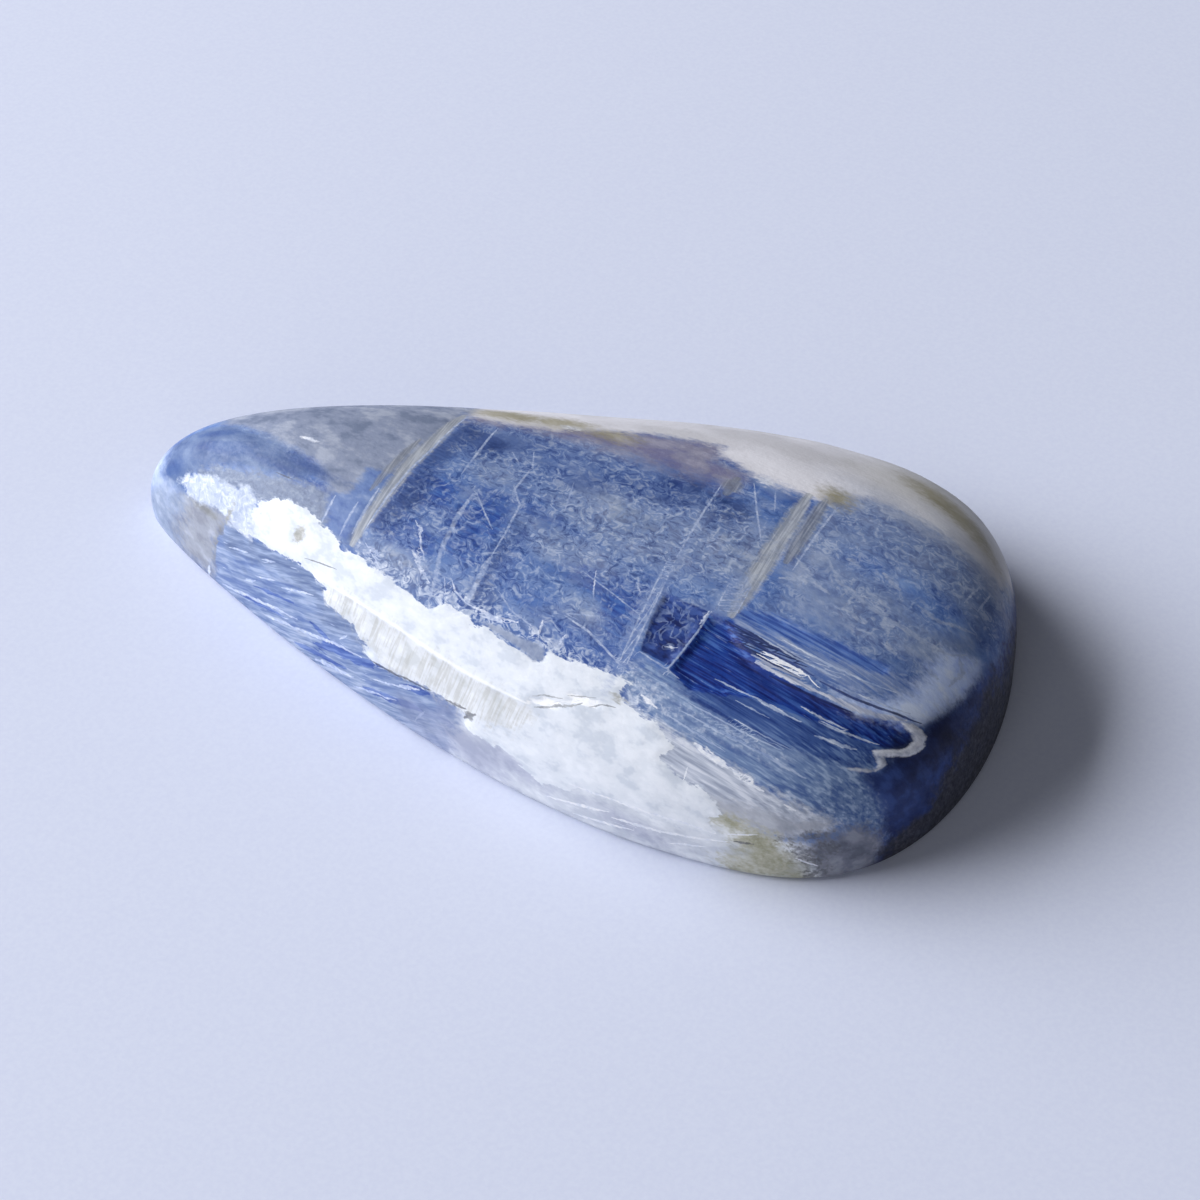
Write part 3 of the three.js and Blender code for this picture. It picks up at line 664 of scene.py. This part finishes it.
relief += FLANK_HEIGHT * ramp(-0.2, 0.3, fields["near_flank"]) * blades
relief += BAND_HEIGHT * ramp(-0.1, 0.3, fields["white_band"]) * (1 + 0.5 * snow)
relief *= ramp(BEVEL, 4 * BEVEL, skin[:, 2])

# The skin's square faces, the chamfer under its rim and the flat back.
side_points = reach.shape[0]
last = side_points - 1
row = np.arange(last)
corner = (row[:, None] * side_points + row[None, :]).ravel()
quads = np.stack([corner, corner + side_points, corner + side_points + 1, corner + 1], axis=1)
rim = np.concatenate([
    row * side_points, last * side_points + row, (last - row) * side_points + last, last - row])
crown_x = CROWN - LENGTH / 2
inset = 1 - BEVEL / (WIDTH / 2)
foot = (skin[rim] - (crown_x, 0, 0)) * (inset, inset, 0) + (crown_x, 0, 0)
foot_index = len(skin) + np.arange(len(rim))
chamfer = np.stack([rim, foot_index, np.roll(foot_index, -1), np.roll(rim, -1)], axis=1)
faces = quads.tolist() + chamfer.tolist() + [foot_index[::-1].tolist()]

mesh = bpy.data.meshes.new("pear_cabochon")
mesh.from_pydata(np.concatenate([skin, foot]) * MM, [], faces)
mesh.update()
normals = np.empty(len(mesh.vertices) * 3)
mesh.vertex_normals.foreach_get("vector", normals)
outward = normals.reshape(-1, 3)[: len(skin)]
shaped = np.concatenate([skin + outward * relief[:, None], foot]) * MM
mesh.vertices.foreach_set("co", shaped.astype(np.float32).ravel())
back_last = np.arange(len(mesh.polygons)) == len(mesh.polygons) - 1
mesh.polygons.foreach_set("use_smooth", ~back_last)
mesh.polygons.foreach_set("material_index", back_last.astype(np.int32))
for name, field in fields.items():
    layer = mesh.attributes.new(name, "FLOAT", "POINT")
    layer.data.foreach_set("value", np.concatenate([field, field[rim]]).astype(np.float32))
mesh.update()
stone = bpy.data.objects.new("pear_cabochon", mesh)
bpy.context.scene.collection.objects.link(stone)
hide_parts("kyanite_cabochon")
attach(stone, "root")


# ---------------------------------------------------------------------------
# Polished kyanite: a hard, glassy, slightly hazy silicate. Blue comes from
# iron and titanium between the chains, so it runs in streaks along the blades.
# ---------------------------------------------------------------------------
def linear(colour):
    """A hex colour, as it looks on a screen, turned to the linear values that a shader takes."""
    parts = [int(colour[i:i + 2], 16) / 255 for i in (1, 3, 5)]
    return [p / 12.92 if p <= 0.04045 else ((p + 0.055) / 1.055) ** 2.4 for p in parts] + [1.0]


def add(tree, kind, inputs=None, out=0, **settings):
    """Adds a node and gives back one of its outputs, if it has any: settings are its own properties, and
    inputs its sockets' values or the sockets to link."""
    made = tree.nodes.new(kind)
    for key, value in settings.items():
        setattr(made, key, value)
    for key, value in (inputs or {}).items():
        if isinstance(value, bpy.types.NodeSocket):
            tree.links.new(value, made.inputs[key])
        else:
            made.inputs[key].default_value = value
    return made.outputs[out] if made.outputs else None


def bare_material(name):
    """A new material and its emptied node tree."""
    made = bpy.data.materials.new(name)
    made.use_nodes = True
    made.node_tree.nodes.clear()
    return made, made.node_tree


def grown(tree, grains):
    """A material's noise patterns, by name. A grain is its cells' size in mm along, across and up through
    the blades, its octaves, how much of each is left in the next, how far it is stirred, and the blades'
    turn and dip."""
    place = add(tree, "ShaderNodeTexCoord", out="Object")
    found = {}
    for name, (size, octaves, left, stir, (turn, dip)) in grains.items():
        cells = add(tree, "ShaderNodeMapping", {
            "Vector": place, "Rotation": (0, -dip, turn), "Scale": [c * MM for c in size]},
            vector_type="TEXTURE")
        found[name] = add(tree, "ShaderNodeTexNoise", {
            "Vector": cells, "Scale": 1.0, "Detail": octaves, "Roughness": left, "Distortion": stir})
    return found


WITH_BLADES = (BLADE_TURN, BLADE_DIP)
WITH_CRACKS = (math.radians(-6), BLADE_DIP)
WITH_FLANK = (math.radians(-20), math.radians(20))
KYANITE_IOR = 1.72
polish, tree = bare_material("polished kyanite")
patterns = grown(tree, {
    "bands": ((7.0, 0.9, 0.9), 3, 0.5, 0.0, WITH_BLADES),
    "streaks": ((3.5, 0.16, 0.2), 2, 0.6, 0.0, WITH_BLADES),
    "hairs": ((2.5, 0.07, 0.09), 1, 0.5, 0.0, WITH_BLADES),
    "cloud": ((1.5, 0.9, 0.9), 3, 0.62, 0.0, WITH_BLADES),
    "soft_cloud": ((4.0, 2.4, 2.4), 2, 0.45, 0.0, WITH_BLADES),
    "mist": ((2.6, 1.2, 1.2), 2, 0.6, 0.0, WITH_BLADES),
    "mottle": ((0.34, 0.24, 0.24), 2, 0.7, 0.0, WITH_BLADES),
    "fleck": ((0.5, 0.4, 0.4), 2, 0.75, 1.2, WITH_BLADES),
    "bent": ((0.55, 0.8, 0.6), 2, 0.6, 0.5, WITH_BLADES),
    "snow": ((1.2, 0.8, 0.8), 3, 0.62, 0.0, WITH_BLADES),
    "cross": ((0.13, 1.5, 1.5), 2, 0.5, 0.0, WITH_BLADES),
    "hatch": ((0.09, 1.6, 1.6), 1, 0.5, 0.0, WITH_CRACKS),
    "hollow": ((0.8, 0.4, 0.4), 2, 0.6, 0.0, WITH_BLADES),
    "icy": ((3.2, 1.6, 1.6), 2, 0.5, 0.0, WITH_BLADES),
    "edge": ((0.4, 0.16, 0.2), 2, 0.7, 0.0, WITH_BLADES),
    "flank_streaks": ((2.0, 0.32, 0.2), 2, 0.65, 0.0, WITH_FLANK),
    "flank_dashes": ((0.9, 0.3, 0.09), 1, 0.5, 0.0, WITH_FLANK),
})

# A crease runs where the bent noise passes through its middle value.
off_middle = add(tree, "ShaderNodeMath", {0: patterns["bent"], 1: 0.5}, operation="SUBTRACT")
off_middle = add(tree, "ShaderNodeMath", {0: off_middle}, operation="ABSOLUTE")
patterns["crease"] = add(tree, "ShaderNodeMapRange", {
    "Value": off_middle, "From Min": 0.10, "From Max": 0.01}, interpolation_type="SMOOTHSTEP")
edge_noise = add(tree, "ShaderNodeMath", {0: patterns["edge"], 1: 0.5}, operation="SUBTRACT")

# Where each pattern passes from its dark tone to its middle one, and from that to its light one.
TONE_LIMITS = (0.36, 0.50), (0.50, 0.66)
shares = {
    name: [add(tree, "ShaderNodeMapRange", {"Value": patterns[name], "From Min": low, "From Max": high},
               interpolation_type="SMOOTHSTEP") for low, high in TONE_LIMITS]
    for name in sorted({layer[3] for layer in layers})}


def tones(pattern, dark, middle, light):
    """Three colours shared out by a noise pattern, mostly the middle one."""
    lower, upper = shares[pattern]
    darker = add(tree, "ShaderNodeMix", {
        "Factor": lower, "A": linear(dark), "B": linear(middle)}, "Result", data_type="RGBA")
    return add(tree, "ShaderNodeMix", {
        "Factor": upper, "A": darker, "B": linear(light)}, "Result", data_type="RGBA")


MARK_FADE = (-0.14, -0.08)   # mm inside a fine mark, so just outside it, where it has faded out and is full


def shown_depth(name, soft, rough):
    """How far inside a marking the skin is, 0 to 1. The edge of a patch is roughened by fine noise in mm.
    A thin mark is drawn by how far to its side the skin is, as a share of its half width."""
    depth = add(tree, "ShaderNodeAttribute", out="Fac", attribute_name=name)
    if name + "_side" not in fields:
        frayed = add(tree, "ShaderNodeMath", {0: edge_noise, 1: rough, 2: depth}, operation="MULTIPLY_ADD")
        return add(tree, "ShaderNodeMapRange", {
            "Value": frayed, "From Min": -soft, "From Max": soft}, interpolation_type="SMOOTHSTEP")
    side = add(tree, "ShaderNodeAttribute", out="Fac", attribute_name=name + "_side")
    frayed = add(tree, "ShaderNodeMath", {0: edge_noise, 1: 3 * rough, 2: side}, operation="MULTIPLY_ADD")
    frayed = add(tree, "ShaderNodeMath", {0: frayed}, operation="ABSOLUTE")
    inside = add(tree, "ShaderNodeMapRange", {
        "Value": frayed, "From Min": 1 + soft, "From Max": 1 - soft}, interpolation_type="SMOOTHSTEP")
    near = add(tree, "ShaderNodeMapRange", {
        "Value": depth, "From Min": MARK_FADE[0], "From Max": MARK_FADE[1]}, interpolation_type="SMOOTHSTEP")
    return add(tree, "ShaderNodeMath", {0: near, 1: inside}, operation="MULTIPLY")


# The layers of colour, each laid over the ones before it.
colour = linear("#5474ae")
for field, soft, rough, pattern, dark, middle, light, cover, shown in layers:
    part = add(tree, "ShaderNodeMath", {0: shown_depth(field, soft, rough), 1: cover}, operation="MULTIPLY")
    if shown:
        second, low, high = shown
        picked = add(tree, "ShaderNodeMapRange", {
            "Value": patterns[second], "From Min": low, "From Max": high}, interpolation_type="SMOOTHSTEP")
        part = add(tree, "ShaderNodeMath", {0: part, 1: picked}, operation="MULTIPLY")
    colour = add(tree, "ShaderNodeMix", {
        "Factor": part, "A": colour, "B": tones(pattern, dark, middle, light)}, "Result", data_type="RGBA")

# The polish: fine scratches along the blades over a fine grain, and duller where the grain is open.
POLISH_ROUGHNESS = 0.42
GRAIN_ROUGHNESS = 0.2        # more, where the grain is open
SCRATCH_DEPTH = 0.05
scratched = add(tree, "ShaderNodeMath", {0: patterns["streaks"], 1: 0.4}, operation="MULTIPLY")
ground = add(tree, "ShaderNodeMath", {0: patterns["mottle"], 1: 0.6, 2: scratched}, operation="MULTIPLY_ADD")
bump = add(tree, "ShaderNodeBump", {"Height": ground, "Strength": 0.5, "Distance": SCRATCH_DEPTH * MM})
roughness = add(tree, "ShaderNodeMapRange", {
    "Value": patterns["mottle"], "From Min": 0.35, "From Max": 0.7,
    "To Min": POLISH_ROUGHNESS, "To Max": POLISH_ROUGHNESS + GRAIN_ROUGHNESS},
    interpolation_type="SMOOTHSTEP")
shader = add(tree, "ShaderNodeBsdfPrincipled", {
    "Base Color": colour, "Roughness": roughness, "IOR": KYANITE_IOR, "Specular IOR Level": 0.15,
    "Normal": bump})
add(tree, "ShaderNodeOutputMaterial", {"Surface": shader})
mesh.materials.append(polish)

# ---------------------------------------------------------------------------
# The flat back: the same stone left matt from the lapping wheel.
# ---------------------------------------------------------------------------
LAPPED_DEPTH = 0.03
lapped, tree = bare_material("lapped kyanite")
patterns = grown(tree, {
    "bands": ((5.0, 0.45, 0.6), 4, 0.55, 0.0, WITH_BLADES),
    "scratches": ((0.08, 2.5, 1.0), 4, 0.55, 0.0, WITH_BLADES),
})
paler = add(tree, "ShaderNodeMapRange", {
    "Value": patterns["bands"], "From Min": 0.35, "From Max": 0.65}, interpolation_type="SMOOTHSTEP")
back = add(tree, "ShaderNodeMix", {
    "Factor": paler, "A": linear("#7488bc"), "B": linear("#a9b3d0")}, "Result", data_type="RGBA")
bump = add(tree, "ShaderNodeBump", {
    "Height": patterns["scratches"], "Strength": 0.3, "Distance": LAPPED_DEPTH * MM})
shader = add(tree, "ShaderNodeBsdfPrincipled", {
    "Base Color": back, "Roughness": 0.62, "IOR": KYANITE_IOR, "Normal": bump})
add(tree, "ShaderNodeOutputMaterial", {"Surface": shader})
mesh.materials.append(lapped)


# ---------------------------------------------------------------------------
# The tabletop: a plain pale board under the stone.
# ---------------------------------------------------------------------------
FLOOR = 1.5                  # half of the tabletop's side, in metres
floor_mesh = bpy.data.meshes.new("tabletop")
floor_mesh.from_pydata(
    [(-FLOOR, -FLOOR, 0), (FLOOR, -FLOOR, 0), (FLOOR, FLOOR, 0), (-FLOOR, FLOOR, 0)], [], [(0, 1, 2, 3)])
floor = bpy.data.objects.new("tabletop", floor_mesh)
bpy.context.scene.collection.objects.link(floor)
board, tree = bare_material("matt white board")
patterns = grown(tree, {"fibres": ((0.22, 0.22, 0.22), 2, 0.55, 0.0, WITH_BLADES)})
paler = add(tree, "ShaderNodeMapRange", {
    "Value": patterns["fibres"], "From Min": 0.2, "From Max": 0.8}, interpolation_type="SMOOTHSTEP")
card = add(tree, "ShaderNodeMix", {
    "Factor": paler, "A": linear("#d8ddee"), "B": linear("#dde2f1")}, "Result", data_type="RGBA")
shader = add(tree, "ShaderNodeBsdfPrincipled", {"Base Color": card, "Roughness": 0.8})
add(tree, "ShaderNodeOutputMaterial", {"Surface": shader})
floor_mesh.materials.append(board)

# ---------------------------------------------------------------------------
# Light and camera. A large soft window to the left, a little behind the stone,
# and a dim room all round. The camera looks down on the near flank.
# ---------------------------------------------------------------------------
VIEW_TURN = math.radians(20.05)
VIEW_DOWN = math.radians(47)
VIEW_DISTANCE = 140 * MM
FRAMING_RIGHT = -0.255 * MM  # the camera's own shift, which sets the stone in the frame
FRAMING_AWAY = 1.63 * MM
aim = np.array([CROWN - LENGTH / 2, 0, 0]) * MM


def seen_from_camera(right, away, up):
    """A place given to the camera's right, away from it and up, in metres from the point aimed at."""
    c, s = math.cos(VIEW_TURN), math.sin(VIEW_TURN)
    return aim + np.array([c * right - s * away, s * right + c * away, up])


camera_data = bpy.data.cameras.new("camera")
camera_data.lens = 94.1
camera_data.sensor_width = 36
camera_data.clip_start = 0.005
camera = bpy.data.objects.new("camera", camera_data)
camera.location = seen_from_camera(
    FRAMING_RIGHT, FRAMING_AWAY - VIEW_DISTANCE * math.cos(VIEW_DOWN), VIEW_DISTANCE * math.sin(VIEW_DOWN))
camera.rotation_euler = (math.pi / 2 - VIEW_DOWN, 0, VIEW_TURN)
bpy.context.scene.collection.objects.link(camera)
bpy.context.scene.camera = camera


def softbox(name, place, size, power):
    """A rectangular area light of the given size, turned to face the stone."""
    light = bpy.data.lights.new(name, "AREA")
    light.shape = "RECTANGLE"
    light.size, light.size_y = size
    light.energy = power
    light.color = linear("#f6f8ff")[:3]
    lamp = bpy.data.objects.new(name, light)
    lamp.location = place
    lamp.rotation_euler = (Vector(place) - Vector(aim)).to_track_quat("Z", "Y").to_euler()
    bpy.context.scene.collection.objects.link(lamp)


softbox("window", seen_from_camera(-0.76, 0.233, 0.442), (0.95, 0.6), 16.8)
softbox("room in front", seen_from_camera(-0.25, -0.95, 0.45), (0.9, 0.6), 2.0)

world = bpy.data.worlds.new("room")
world.use_nodes = True
world.node_tree.nodes.clear()
sky = add(world.node_tree, "ShaderNodeBackground", {"Color": linear("#eef1ff"), "Strength": 0.08})
add(world.node_tree, "ShaderNodeOutputWorld", {"Surface": sky})
bpy.context.scene.world = world
bpy.context.scene.view_settings.view_transform = "Standard"
